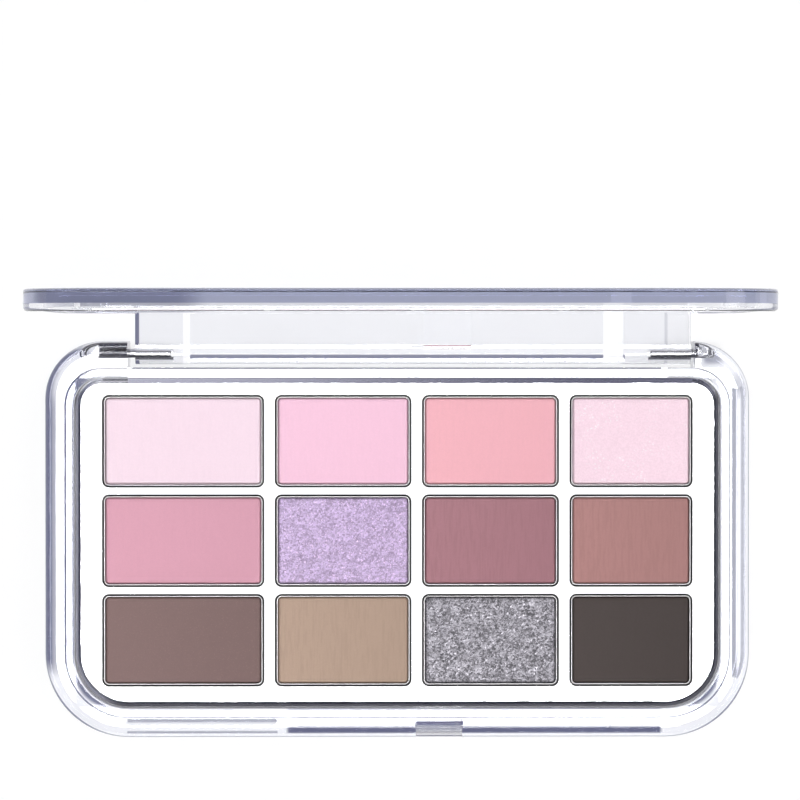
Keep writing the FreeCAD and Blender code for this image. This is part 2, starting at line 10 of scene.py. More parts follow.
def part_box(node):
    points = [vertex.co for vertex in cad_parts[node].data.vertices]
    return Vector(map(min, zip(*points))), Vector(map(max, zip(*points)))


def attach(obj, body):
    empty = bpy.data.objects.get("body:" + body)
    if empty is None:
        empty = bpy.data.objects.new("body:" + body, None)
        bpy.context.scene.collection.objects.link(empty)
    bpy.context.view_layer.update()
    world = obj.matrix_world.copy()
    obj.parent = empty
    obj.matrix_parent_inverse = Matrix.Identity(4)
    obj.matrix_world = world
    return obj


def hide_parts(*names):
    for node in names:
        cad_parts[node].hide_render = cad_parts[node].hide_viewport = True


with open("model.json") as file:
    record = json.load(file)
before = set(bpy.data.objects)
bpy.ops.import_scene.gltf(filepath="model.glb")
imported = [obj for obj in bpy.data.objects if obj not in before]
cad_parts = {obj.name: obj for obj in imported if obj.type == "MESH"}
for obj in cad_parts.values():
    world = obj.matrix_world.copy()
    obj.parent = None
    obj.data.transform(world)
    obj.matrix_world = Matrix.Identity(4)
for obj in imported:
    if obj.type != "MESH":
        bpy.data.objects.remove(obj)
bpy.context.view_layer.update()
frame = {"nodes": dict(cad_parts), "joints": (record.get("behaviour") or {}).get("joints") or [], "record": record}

bl_info = {
    "name": "Eyeshadow palette",
    "version": (1, 0, 0),
    "blender": (4, 5, 0),
    "location": "View3D > Sidebar > Palette",
    "description": "Dresses a twelve-pan eyeshadow palette in clear plastic, silver and pressed powder",
    "category": "Object",
}

MM = 0.001
NODES = frame["nodes"]
RECORD_COLOURS = {item["slot"]: item["base_color"][:3] for item in frame["record"]["materials"]}

# Clear plastic: haze spots, flow marks, bounces until light passes straight on, and what then passes
HAZE_SIZE = 6 * MM
FLOW_SIZE = 9 * MM
DEEP_RAY = 6
CLEAR_PASS = (0.96, 0.965, 0.98, 1.0)

# Tray: orange peel, smears, the painted shade of the bevel at the right and front, where its painted pale part
# fades, and its bare plastic
PEEL_SIZE = 2.5 * MM
SMEAR_SIZE = 14 * MM
BEVEL_SHADE = 0.35
PAINTED_PALE_FADE = (-60 * MM, 40 * MM)
BARE_ROUGHNESS = 0.6

# Pans: where the bright rim ends below the top and the painted shade of the walls begins, and the drawing lines on
# the walls
RIM_EDGES = (0.3 * MM, 0.2 * MM)
DRAWING_SIZE = 0.9 * MM
DRAWING_STRETCH = (1.0, 1.0, 14.0)
DRAWING_RELIEF = 0.004 * MM

# Pins: soft step beside the knurl, ends of the painted dark band on the right knurl, its points, and the turning
# marks
KNURL_STEP = 0.1 * MM
KNURL_SHOULDER = (0.8 * MM, 1.0 * MM)
POINT_SIZE = 0.5 * MM
TURNING_SIZE = 0.8 * MM
TURNING_STRETCH = (12.0, 1.0, 1.0)
TURNING_RELIEF = 0.006 * MM
TURNING_SHADE = 0.7

# Glue: its bubbles
BUBBLE_SIZE = 0.7 * MM
BUBBLE_RELIEF = 0.03 * MM
BUBBLE_SHADE = 0.8

# Matte powder: brush lines, specks, their share on plainer cakes, the painted light and shade across each cake,
# and brightness
LINE_SIZE = 0.4 * MM
LINE_STRETCH = (1.0, 0.1, 1.0)
SPECK_SIZE = 0.22 * MM
PLAIN_SHARE = 0.2
PAINTED_SIDE_LIGHT = 0.1
GRAIN_SHADE = 0.8
LINE_SHADE = 0.75
SPECK_SHADE = 1.3

# Shimmer: its darkest and brightest grain, its drifts, and its pearls, whose pale colour is partly their own and
# partly painted glint
SATIN_SHADES = (0.93, 1.03)
DRIFT_SIZE = 4 * MM
PEARL_SIZE = 0.24 * MM
PEARL_COLOUR = (1.0, 0.97, 0.98)
PEARL_RELIEF = 0.012 * MM

# Glitter: a fine flake to a coarse one, shares in the tone, drifts, crevices and their painted shade, the range of
# tone and painted glint, tilt, and the painted sparks
FINE_FLAKE = 0.55
TONE_SHARES = (0.3, 0.25, 0.45)
GLITTER_DRIFT = 2.2 * MM
CREVICE_SIZE = 0.9 * MM
CREVICE_SHADE = 0.35
TONE_DARK = 0.7
TONE_BRIGHT = 0.75
FLAKE_TILT = 0.03 * MM
TILT_SEED = 3.7
PAINTED_SPARK_SHADE = 1.8

# Meshes: unevenness left by pressing, steps in each arc, a pan's least corner and its sharp edges
PRESS_SIZE = 4 * MM
CAKE_ARC = 6
PAN_ARC = 8
BEND_STEPS = 4
ROLL_STEPS = 10
LEAST_CORNER = 0.05 * MM
SHARP_ANGLE = math.radians(40)

# Stage: straight up, the lamp at the right, spacing of the panels, the camera's sight, and the floor
UP = Vector((0.0, 0.0, 1.0))
SIDE_LAMP = (0.9, -0.1, 0.6)
SIDE_LAMP_SIZE = (0.5, 0.5)
PANEL_DROP = 25 * MM
SIGHT = (0.01, 20.0)
FLOOR_REACH = 3.0
FLOOR_DROP = 0.05 * MM
PAPER_SIZE = 30 * MM
PAPER_SHADE = 0.995

# Horizon: length of the diagonal way to its dark side, where it turns dark, and where it ends
DIAGONAL = 0.7
HORIZON_TURN = (-0.3, 0.4)
HORIZON_TOP = (0.3, 0.55)

# Strips of the rim that mirror dark cards, at the right, in front, at the hinge and on the shoulder
CARD_STRIPS = {
    "right_card": (Vector((66.4 * MM, -28 * MM, 12 * MM)), Vector((68.2 * MM, 30 * MM, 12 * MM))),
    "front_card": (Vector((-54 * MM, -36.8 * MM, 12 * MM)), Vector((-24 * MM, -35.6 * MM, 12 * MM))),
    "rear_card": (Vector((-53 * MM, 33.8 * MM, 13 * MM)), Vector((53 * MM, 34.2 * MM, 13 * MM))),
    "shoulder_card": (Vector((60.3 * MM, 34.2 * MM, 12 * MM)), Vector((67.3 * MM, 37 * MM, 12 * MM))),
}

# Painted shade on the floor seen through those strips: usual softness, strength, then left, right, front, rear and
# softness
LINE_SOFT = 0.1 * MM
CARD_SHADE = 0.6
CARD_SHADES = ((67.2 * MM, 68.1 * MM, -28 * MM, 30 * MM, 0.2 * MM),
               (-54 * MM, -24 * MM, -37.05 * MM, -36.35 * MM),
               (-53 * MM, 53 * MM, 33.8 * MM, 34.2 * MM))

# Strength, outline and softness of the painted shades on the floor under the right rear shoulder
SHOULDER_SHADES = ((0.65, (61.5 * MM, 68 * MM, 34.9 * MM, 36.4 * MM, 0.7 * MM)),
                   (0.3, (66.0 * MM, 69 * MM, 28 * MM, 32 * MM, 1.2 * MM)))

# Hinge lug: its left end, and the spans that shade the floor, with their strength and reach
LUG_LEFT = -52.3 * MM
LUG_SPANS = ((LUG_LEFT, -43.0 * MM), (-41.6 * MM, 41.5 * MM), (45.5 * MM, 58.7 * MM))
LUG_SHADE = 0.17
LUG_REACH = 2 * MM

# Painted shade on the floor that shows as lines in the lug: along its front, at its left end and beside its window
FRONT_LINE = (0.85 * MM, 0.15 * MM)
FRONT_SHADE = 0.9
END_LINE = (LUG_LEFT - 0.4 * MM, LUG_LEFT + 0.5 * MM)
END_SHADE = 0.95
WINDOW_LINE = (53.8 * MM, 54.5 * MM)
WINDOW_SHADE = 0.4

# Shade under the left end of the open lid: depth, inset, spill at the rear, fade and strength
LID_DEPTH = 4 * MM
LID_INSET = MM
LID_SPILL = 0.5 * MM
LID_FADE = (-44 * MM, -34 * MM)
LID_SHADE = 0.65

# Shade under the base: insets, corner, soft edge, the left side and its front, and a reach past all
SHADE_EDGE = 0.8 * MM
SHADE_INNER = 4.8 * MM
SHADE_CORNER = 13 * MM
SHADE_SOFT = 2.2 * MM
SHADE_SIDE = 9 * MM
SHADE_FRONT = -26 * MM
SHADE_PAST = 1.0

# Shade under the front of the rim: its ends, how far in it starts and stops, soft edge and strength
BAND_LEFT = -22 * MM
BAND_RIGHT = 53 * MM
BAND_START = 1.2 * MM
BAND_STOP = 3.0 * MM
BAND_SOFT = 0.5 * MM
BAND_SHADE = 1.0

# How each shade is pressed
MATTE = ("pale_pink", "light_pink", "salmon_pink", "rose", "mauve", "rosy_brown", "taupe_brown",
         "beige_tan", "dark_brown")
SHIMMER = ("pink_shimmer",)
GLITTER = ("lilac_glitter", "silver_glitter")
SHADES = MATTE + SHIMMER + GLITTER
LINED = ("mauve", "rosy_brown", "beige_tan")
SPECKED = ("taupe_brown",)


class Wire:
    """A socket of a node tree. Arithmetic on it adds Math nodes."""

    def __init__(self, tree, socket):
        self.tree = tree
        self.socket = socket

    def math(self, operation, *values):
        node = self.tree.add("ShaderNodeMath", {"operation": operation},
                             dict(enumerate(values)))
        return self.tree.out(node)

    def __add__(self, other):
        return self.math("ADD", self, other)

    def __radd__(self, other):
        return self.math("ADD", other, self)

    def __sub__(self, other):
        return self.math("SUBTRACT", self, other)

    def __rsub__(self, other):
        return self.math("SUBTRACT", other, self)

    def __mul__(self, other):
        return self.math("MULTIPLY", self, other)

    def __rmul__(self, other):
        return self.math("MULTIPLY", other, self)

    def __pow__(self, other):
        return self.math("POWER", self, other)

    def max(self, other):
        return self.math("MAXIMUM", self, other)

    def abs(self):
        return self.math("ABSOLUTE", self)

    def ramp(self, low, high):
        """0 below low, 1 above high, smooth between them."""
        node = self.tree.add("ShaderNodeMapRange", {"interpolation_type": "SMOOTHSTEP"},
                             {"Value": self, "From Min": low, "From Max": high})
        return self.tree.out(node)


class Tree:
    """The nodes of one material or world."""

    def __init__(self, owner):
        owner.use_nodes = True
        self.nodes = owner.node_tree.nodes
        self.links = owner.node_tree.links
        self.nodes.clear()

    def add(self, kind, settings=None, inputs=None):
        """A node of a kind, its settings first, then the values or links of its sockets."""
        node = self.nodes.new(kind)
        for name, setting in (settings or {}).items():
            setattr(node, name, setting)
        for name, value in (inputs or {}).items():
            self.feed(node.inputs[name], value)
        return node

    def feed(self, socket, value):
        if isinstance(value, Wire):
            self.links.new(value.socket, socket)
        else:
            socket.default_value = value

    def out(self, node, name=0):
        return Wire(self, node.outputs[name])

    def mix(self, factor, first, second):
        """Two colours mixed by a factor."""
        node = self.add("ShaderNodeMix", {"data_type": "RGBA"}, {0: factor})
        colours = [item for item in node.inputs if item.type == "RGBA"]
        for socket, colour in zip(colours, (first, second)):
            self.feed(socket, colour if isinstance(colour, Wire) else (*colour, 1.0))
        return Wire(self, next(item for item in node.outputs if item.type == "RGBA"))

    def place(self):
        """Where a point of the surface is, in metres."""
        return self.out(self.add("ShaderNodeTexCoord"), "Object")

    def facing(self):
        """Which way the surface faces."""
        return self.out(self.add("ShaderNodeNewGeometry"), "True Normal")

    def axis(self, vector, name):
        """One coordinate of a vector."""
        return self.out(self.add("ShaderNodeSeparateXYZ", {}, {0: vector}), name)

    def channel(self, colour, number):
        """One channel of a colour."""
        return self.out(self.add("ShaderNodeSeparateColor", {}, {0: colour}), number)

    def noise(self, place, size, detail, roughness=0.5):
        """Soft noise from 0 to 1 with lumps of a given size in metres."""
        node = self.add("ShaderNodeTexNoise", {}, {
            "Vector": place, "Scale": 1.0 / size, "Detail": detail, "Roughness": roughness})
        return self.out(node, 0)

    def cells(self, place, size, output="Color"):
        """Random flakes of a given size in metres."""
        node = self.add("ShaderNodeTexVoronoi", {}, {"Vector": place, "Scale": 1.0 / size})
        return self.out(node, output)

    def stretch(self, place, scale):
        """A place stretched along the axes."""
        node = self.add("ShaderNodeVectorMath", {"operation": "MULTIPLY"}, {0: place, 1: scale})
        return self.out(node)

    def bump(self, height, depth):
        """A normal from a height of 0 to 1, for relief of a given depth in metres."""
        node = self.add("ShaderNodeBump", {}, {
            "Height": height, "Distance": depth, "Strength": 1.0})
        return self.out(node)

    def principled(self, inputs):
        return self.add("ShaderNodeBsdfPrincipled", {}, inputs)

    def surface(self, node):
        self.add("ShaderNodeOutputMaterial", {}, {"Surface": self.out(node)})


def new_material(name):
    material = bpy.data.materials.new(name)
    return material, Tree(material)


def clear_plastic(case):
    """Thick clear plastic: faint haze, and a cool tint that grows with depth.

    Shadows, and light that has bounced many times inside, pass straight through.
    """
    material, tree = new_material("clear_plastic")
    place = tree.place()
    haze = tree.noise(place, HAZE_SIZE, 4.0)
    glass = tree.principled({
        "Base Color": (1.0, 1.0, 1.0, 1.0),
        "Roughness": haze.ramp(0.45, 0.75) * case.haze,
        "IOR": case.ior,
        "Transmission Weight": 1.0,
        "Normal": tree.bump(tree.noise(place, FLOW_SIZE, 1.0), case.waviness),
    })
    clear = tree.add("ShaderNodeBsdfTransparent", {}, {"Color": CLEAR_PASS})
    path = tree.add("ShaderNodeLightPath")
    deep = tree.out(path, "Ray Depth").ramp(DEEP_RAY - 1, DEEP_RAY)
    straight = tree.out(path, "Is Shadow Ray").max(deep)
    mix = tree.add("ShaderNodeMixShader", {}, {0: straight, 1: tree.out(glass), 2: tree.out(clear)})
    tint = tree.add("ShaderNodeVolumeAbsorption", {}, {
        "Color": (*case.tint, 1.0), "Density": case.tint_density})
    tree.add("ShaderNodeOutputMaterial", {}, {"Surface": tree.out(mix), "Volume": tree.out(tint)})
    return material


def tray_silver(metal):
    """Plastic, metallised on top to a bright mirror with a faint orange peel, and painted shade on its bevels."""
    material, tree = new_material("tray_silver")
    place = tree.place()
    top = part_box("tray")[1].z
    coated = tree.axis(place, "Z").ramp(top - metal.coat_depth, top - 0.85 * metal.coat_depth)
    peel = tree.noise(place, PEEL_SIZE, 1.0)
    smear = tree.noise(place, SMEAR_SIZE, 3.0)
    sideways, rearward, upward = (tree.axis(tree.facing(), name) for name in "XYZ")
    # Painted shade: the bevels are painted darker than the silver, darkest where they face right and front, and
    # painted pale where they face the rear at the left
    painted_dark_facing = (sideways - rearward).ramp(0.1, 0.5)
    pale = rearward.ramp(0.2, 0.5) * (1 - tree.axis(place, "X").ramp(*PAINTED_PALE_FADE))
    level = upward.ramp(0.85, 0.95)
    bevel = tree.mix(painted_dark_facing, metal.tray_bevel, scaled(metal.tray_bevel, BEVEL_SHADE))
    bevel = tree.mix(pale, bevel, metal.tray_colour)
    silver = tree.mix(level * (1.0 - 0.04 * smear), bevel, metal.tray_colour)
    mirror = metal.tray_roughness * (0.8 + 0.4 * smear)
    shell = tree.principled({
        "Base Color": tree.mix(coated, metal.tray_wall, silver),
        "Metallic": coated,
        "Roughness": BARE_ROUGHNESS - coated * (BARE_ROUGHNESS - mirror),
        "Specular IOR Level": 0.0,
        "Normal": tree.bump(peel, metal.tray_peel),
    })
    tree.surface(shell)
    return material


def pan_metal(metal):
    """Pressed metal: bright round the rim; below it the walls carry painted shade, with faint drawing lines."""
    material, tree = new_material("pan_metal")
    place = tree.place()
    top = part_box(f"pan_{SHADES[0]}")[1].z
    rim = tree.axis(place, "Z").ramp(*(top - edge for edge in RIM_EDGES))
    lines = tree.noise(tree.stretch(place, DRAWING_STRETCH), DRAWING_SIZE, 3.0)
    shell = tree.principled({
        # Below the rim the colour is the painted shade of the walls
        "Base Color": tree.mix(rim * (1.0 - 0.15 * lines), metal.pan_wall, metal.pan_colour),
        "Metallic": rim,
        "Roughness": metal.pan_roughness * (0.7 + 0.6 * lines),
        "Specular IOR Level": 0.0,
        "Normal": tree.bump(lines, DRAWING_RELIEF),
    })
    tree.surface(shell)
    return material


def pin_steel(metal):
    """Steel pin: a bright shank with turning marks, and a knurl with painted shade: all of it at the left, a
    narrow band at the right.
    """
    material, tree = new_material("pin_steel")
    place = tree.place()
    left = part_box("hinge_pin_left")[0].x + metal.knurl_length
    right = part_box("hinge_pin_right")[1].x - metal.knurl_length
    across = tree.axis(place, "X")
    near = 1 - across.ramp(left, left + KNURL_STEP)
    far = across.ramp(right - KNURL_STEP, right)
    shoulder = far * (1 - across.ramp(*(right + end for end in KNURL_SHOULDER)))
    points = 1 - tree.cells(place, POINT_SIZE, "Distance").ramp(0.15, 0.35)
    marks = tree.noise(tree.stretch(place, TURNING_STRETCH), TURNING_SIZE, 3.0)
    bright = tree.mix(marks.ramp(0.3, 0.7), metal.pin_colour, scaled(metal.pin_colour, TURNING_SHADE))
    # Painted shade: the knurl is painted near black, its points keeping some of the steel's colour
    dark = tree.mix(points * 0.6, metal.knurl_colour, metal.pin_colour)
    shell = tree.principled({
        "Base Color": tree.mix(near.max(shoulder), bright, dark),
        "Metallic": 1.0,
        "Roughness": 0.16 + 0.14 * marks + 0.2 * near.max(far),
        "Normal": tree.bump(marks, TURNING_RELIEF),
    })
    tree.surface(shell)
    return material


def set_glue():
    """Milky glue with small bubbles."""
    material, tree = new_material("glue")
    place = tree.place()
    bubbles = tree.cells(place, BUBBLE_SIZE, "Distance")
    colour = RECORD_COLOURS["glue"]
    shell = tree.principled({
        "Base Color": tree.mix(bubbles.ramp(0.1, 0.6), scaled(colour, BUBBLE_SHADE), colour),
        "Roughness": 0.35 + 0.2 * bubbles,
        "Normal": tree.bump(bubbles, BUBBLE_RELIEF),
    })
    tree.surface(shell)
    return material


def scaled(colour, factor):
    return [min(part * factor, 1.0) for part in colour]


def pressed_powder(shade, colour, powder):
    """Matte pressed powder: fine grain, brush lines, a few paler specks, and painted light and shade, lighter at
    the left and darker at the right.
    """
    material, tree = new_material(f"powder_{shade}")
    place = tree.place()
    grain = tree.noise(place, powder.grain, 3.0, 0.6)
    lines = tree.noise(tree.stretch(place, LINE_STRETCH), LINE_SIZE, 2.0).ramp(0.4, 0.7)
    speck = tree.noise(place, SPECK_SIZE, 0.0).ramp(0.66, 0.78)
    # Painted light and shade: each cake is painted lighter at its left and darker at its right, more so on deeper
    # shades
    side = tree.axis(tree.out(tree.add("ShaderNodeTexCoord"), "Generated"), "X")
    painted_light_slope = PAINTED_SIDE_LIGHT * (1.0 - sum(colour) / 3)
    strength = powder.line_strength * (1.0 if shade in LINED else PLAIN_SHARE)
    pale = powder.speck_strength * (1.0 if shade in SPECKED else PLAIN_SHARE)
    body = tree.mix(side, scaled(colour, 1.0 + painted_light_slope), scaled(colour, 1.0 - painted_light_slope))
    gaps = grain.ramp(0.25, 0.75) * powder.grain_contrast
    grained = tree.mix(gaps, body, scaled(colour, GRAIN_SHADE))
    lined = tree.mix(lines * strength, grained, scaled(colour, LINE_SHADE))
    shell = tree.principled({
        "Base Color": tree.mix(speck * pale, lined, scaled(colour, SPECK_SHADE)),
        "Roughness": 0.82 + 0.14 * grain,
        "Specular IOR Level": powder.gloss,
        "Normal": tree.bump(grain, powder.grain_relief),
    })
    tree.surface(shell)
    return material


def pressed_shimmer(shade, colour, powder):
    """Satin pressed powder with tiny pearl sparkles in drifts."""
    material, tree = new_material(f"powder_{shade}")
    place = tree.place()
    grain = tree.noise(place, powder.grain, 3.0, 0.6)
    drift = tree.noise(place, DRIFT_SIZE, 3.0).ramp(0.4, 0.65)
    pick = tree.channel(tree.cells(place, PEARL_SIZE), 0)
    spark = pick.ramp(0.86, 0.98) * drift
    body = tree.mix(grain.ramp(0.25, 0.75), *(scaled(colour, satin) for satin in SATIN_SHADES))
    shell = tree.principled({
        # The pearls are painted pale, partly their own colour and partly painted glint
        "Base Color": tree.mix(spark * 0.6, body, PEARL_COLOUR),
        "Metallic": spark * 0.2,
        "Roughness": 0.7 - 0.3 * spark,
        "Specular IOR Level": powder.gloss,
        "Normal": tree.bump(pick * drift, PEARL_RELIEF),
    })
    tree.surface(shell)
    return material


def pressed_glitter(shade, colour, powder):
    """Packed glitter: coarse and fine flakes, each with its own brightness, partly its tone and partly painted
    glint, painted shade in the crevices, and painted sparks.
    """
    material, tree = new_material(f"powder_{shade}")
    place = tree.place()
    kind = shade.split("_")[0]
    sparkle = getattr(powder, f"{kind}_sparkle")
    colour = scaled(colour, getattr(powder, f"{kind}_depth"))
    flakes = tree.cells(place, powder.flake)
    coarse, tilt = tree.channel(flakes, 0), tree.channel(flakes, 1)
    fine = tree.channel(tree.cells(place, FINE_FLAKE * powder.flake), 0)
    drift = tree.noise(place, GLITTER_DRIFT, 4.0, 0.6)
    crevice = 1 - (tree.noise(place, CREVICE_SIZE, 3.0, 0.6) - 0.5).abs().ramp(0.0, 0.05)
    first, second, third = (share * layer for share, layer in zip(TONE_SHARES, (coarse, fine, drift)))
    tone_and_glint = (first + second + third).ramp(0.25, 0.75)
    # Painted glint: the flakes' brightness, partly their own tone, stands in for light glinting off them
    darkest = scaled(colour, 1.0 - TONE_DARK * sparkle)
    brightest = scaled(colour, 1.0 + TONE_BRIGHT * sparkle)
    body = tree.mix(tone_and_glint, darkest, brightest)
    # Painted shade in the crevices
    dark = tree.mix(crevice * (1 - tone_and_glint) * sparkle, body, scaled(colour, CREVICE_SHADE))
    # Painted sparks: a few fine flakes painted brighter than the glitter's colour
    shell = tree.principled({
        "Base Color": tree.mix(fine.ramp(0.92, 1.0) * 0.7, dark, scaled(colour, PAINTED_SPARK_SHADE)),
        "Metallic": sparkle * 0.5 * tilt,
        "Roughness": 0.65 - 0.25 * tilt,
        "Specular IOR Level": powder.gloss,
        "Normal": tree.bump(tilt, FLAKE_TILT),
    })
    tree.surface(shell)
    return material


def dress(node, material):
    """Give a CAD node a finish."""
    mesh = NODES[node].data
    mesh.materials.clear()
    mesh.materials.append(material)


def corner_rows(half, radius, step):
    """Places along one axis from edge to edge, closer together at the corner arcs."""
    straight = max(2, round(2 * (half - radius) / step))
    arc = [half - radius * (1 - math.sin(turn * math.pi / 2 / CAKE_ARC)) for turn in range(1, CAKE_ARC + 1)]
    middle = [-half + radius + 2 * (half - radius) * item / straight for item in range(straight + 1)]
    return [-row for row in reversed(arc)] + middle + arc


def edge_distance(x, y, half_width, half_depth, radius):
    """How far inside a rounded rectangle a point lies."""
    dx = abs(x) - (half_width - radius)
    dy = abs(y) - (half_depth - radius)
    outside = math.hypot(max(dx, 0.0), max(dy, 0.0))
    return radius - outside - min(max(dx, dy), 0.0)


def flake_height(place):
    """Height of 0 to 1 of packed flakes, each tilted its own way."""
    nearest = noise.voronoi(place)[1][0]
    tilt = noise.cell_vector(nearest * TILT_SEED)
    lean = (place - nearest).dot(2 * tilt - Vector((1.0, 1.0, 1.0)))
    return min(max(0.5 * tilt.z + 0.25 + 0.5 * lean, 0.0), 1.0)


def cake_mesh(name, low, high, radius, step, height):
    """A closed cake: a fine rounded-rectangle grid on top, straight sides and a floor.

    height gives how far a point of the top lies below the highest corner.
    """
    centre = (low + high) / 2
    half_width, half_depth = (high.x - low.x) / 2, (high.y - low.y) / 2
    rows = corner_rows(half_depth, radius, step)
    columns = [place / half_width for place in corner_rows(half_width, radius, step)]
    across = len(columns) - 1
    mesh = bmesh.new()
    grid = []
    for y in rows:
        beyond = max(abs(y) - (half_depth - radius), 0.0)
        reach = half_width - radius + math.sqrt(max(radius ** 2 - beyond ** 2, 0.0))
        line = []
        for column in columns:
            x = reach * column
            inset = edge_distance(x, y, half_width, half_depth, radius)
            z = high.z - height(centre.x + x, centre.y + y, inset)
            line.append(mesh.verts.new((centre.x + x, centre.y + y, z)))
        grid.append(line)
    for near, far in zip(grid, grid[1:]):
        for item in range(across):
            face = mesh.faces.new((near[item], near[item + 1], far[item + 1], far[item]))
            face.smooth = True
    edge = grid[0] + [line[-1] for line in grid[1:-1]]
    edge += grid[-1][::-1] + [line[0] for line in grid[-2:0:-1]]
    foot = [mesh.verts.new((vert.co.x, vert.co.y, low.z)) for vert in edge]
    for item in range(len(edge)):
        after = (item + 1) % len(edge)
        mesh.faces.new((edge[after], edge[item], foot[item], foot[after]))
    mesh.faces.new(foot[::-1])
    data = bpy.data.meshes.new(name)
    mesh.to_mesh(data)
    mesh.free()
    return data


def rounded_loop(half_width, half_depth, radius):
    """Points round a rounded rectangle about the origin."""
    points = []
    for corner, (side, end) in enumerate(((1, 1), (-1, 1), (-1, -1), (1, -1))):
        for step in range(PAN_ARC + 1):
            turn = (corner + step / PAN_ARC) * math.pi / 2
            points.append((side * (half_width - radius) + radius * math.cos(turn),
                           end * (half_depth - radius) + radius * math.sin(turn)))
    return points


def swept_mesh(name, low, high, radius, profile):
    """A closed dish: a profile of insets and heights swept round a rounded rectangle."""
    centre = (low + high) / 2
    half_width, half_depth = (high.x - low.x) / 2, (high.y - low.y) / 2
    mesh = bmesh.new()
    loops = []
    for inset, z in profile:
        corner = max(radius - inset, LEAST_CORNER)
        loops.append([mesh.verts.new((centre.x + x, centre.y + y, z)) for x, y in
                      rounded_loop(half_width - inset, half_depth - inset, corner)])
    for lower, upper in zip(loops, loops[1:]):
        for item in range(len(lower)):
            before = item - 1
            face = mesh.faces.new((lower[before], lower[item], upper[item], upper[before]))
            face.smooth = True
    mesh.faces.new(loops[0][::-1])
    mesh.faces.new(loops[-1])
    data = bpy.data.meshes.new(name)
    mesh.to_mesh(data)
    mesh.free()
    data.set_sharp_from_angle(angle=SHARP_ANGLE)
    return data


def pan_profile(pan, powder, bend):
    """Insets and heights of a pan, from its foot over its rolled rim to its floor."""
    (low, high), (inner_low, inner_high) = pan, powder
    wall = ((high.x - low.x) - (inner_high.x - inner_low.x)) / 2
    roll = wall / 2
    foot = [(bend * (1 - math.sin(turn)), low.z + bend * (1 - math.cos(turn)))
            for turn in (step * math.pi / 2 / BEND_STEPS for step in range(BEND_STEPS + 1))]
    rim = [(roll - roll * math.cos(turn), high.z - roll + roll * math.sin(turn))
           for turn in (step * math.pi / ROLL_STEPS for step in range(ROLL_STEPS + 1))]
    return foot + rim + [(wall, inner_low.z)]


def new_piece(name, data, node, body):
    """Put a mesh in the place of a CAD node."""
    piece = bpy.data.objects.new(name, data)
    bpy.context.scene.collection.objects.link(piece)
    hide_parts(node)
    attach(piece, body)


class CaseLook(bpy.types.PropertyGroup):
    """Finish of the clear case."""

    tint: FloatVectorProperty(
        name="Tint", description="Colour that the plastic takes on with depth",
        subtype="COLOR", min=0.0, max=1.0, default=(0.03, 0.08, 0.36))
    tint_density: FloatProperty(
        name="Tint density", description="How fast the tint grows with depth, per metre",
        min=0.0, default=12.5)
    ior: FloatProperty(
        name="Refraction", description="Index of refraction of the plastic",
        min=1.0, max=2.0, default=1.49)
    haze: FloatProperty(
        name="Haze", description="Roughness of the haziest spots", min=0.0, max=1.0, default=0.01)
    waviness: FloatProperty(
        name="Waviness", description="Depth of the flow marks", unit="LENGTH",
        min=0.0, default=0.0003 * MM)


class MetalLook(bpy.types.PropertyGroup):
    """Finish of the tray, the pans and the pins."""

    tray_colour: FloatVectorProperty(
        name="Tray", description="Colour of the metallised tray",
        subtype="COLOR", min=0.0, max=1.0, default=(0.95, 0.95, 0.965))
    # Painted shade: the bevel is the same silver as the tray, painted this darker colour
    tray_bevel: FloatVectorProperty(
        name="Tray bevel", description="Colour of the tray's bevelled edge",
        subtype="COLOR", min=0.0, max=1.0, default=(0.30, 0.30, 0.35))
    tray_wall: FloatVectorProperty(
        name="Tray plastic", description="Colour of the tray below its silver coat",
        subtype="COLOR", min=0.0, max=1.0, default=(0.30, 0.29, 0.29))
    coat_depth: FloatProperty(
        name="Coat depth", description="How far the silver reaches down from the tray's top",
        unit="LENGTH", min=0.0, default=0.9 * MM)
    tray_roughness: FloatProperty(
        name="Tray roughness", description="How blurred the tray's mirror is",
        min=0.0, max=1.0, default=0.03)
    tray_peel: FloatProperty(
        name="Tray peel", description="Depth of the tray's orange peel", unit="LENGTH",
        min=0.0, default=0.004 * MM)
    pan_colour: FloatVectorProperty(
        name="Pans", description="Colour of the pressed pans",
        subtype="COLOR", min=0.0, max=1.0, default=(0.6, 0.59, 0.59))
    # Painted shade: the walls are painted near black for the shade in the narrow gap round each pan
    pan_wall: FloatVectorProperty(
        name="Pan walls", description="Colour of the pans' drawn walls",
        subtype="COLOR", min=0.0, max=1.0, default=(0.05, 0.045, 0.045))
    pan_corner: FloatProperty(
        name="Pan corner", description="Corner radius of the pans", unit="LENGTH",
        min=0.0, default=1.1 * MM)
    pan_bend: FloatProperty(
        name="Pan bend", description="Radius of the bend at the foot of a pan", unit="LENGTH",
        min=0.0, default=0.5 * MM)
    pan_roughness: FloatProperty(
        name="Pan roughness", description="How dull the pans are",
        min=0.0, max=1.0, default=0.35)
    pin_colour: FloatVectorProperty(
        name="Pins", description="Colour of the hinge pins",
        subtype="COLOR", min=0.0, max=1.0, default=(0.55, 0.55, 0.57))
    # Painted shade: the knurl is steel, painted this near-black colour
    knurl_colour: FloatVectorProperty(
        name="Knurl", description="Colour of the knurled end of a pin",
        subtype="COLOR", min=0.0, max=1.0, default=(0.02, 0.02, 0.035))
    knurl_length: FloatProperty(
        name="Knurl length", description="Length of the knurled end of a pin", unit="LENGTH",
        min=0.0, default=5.8 * MM)


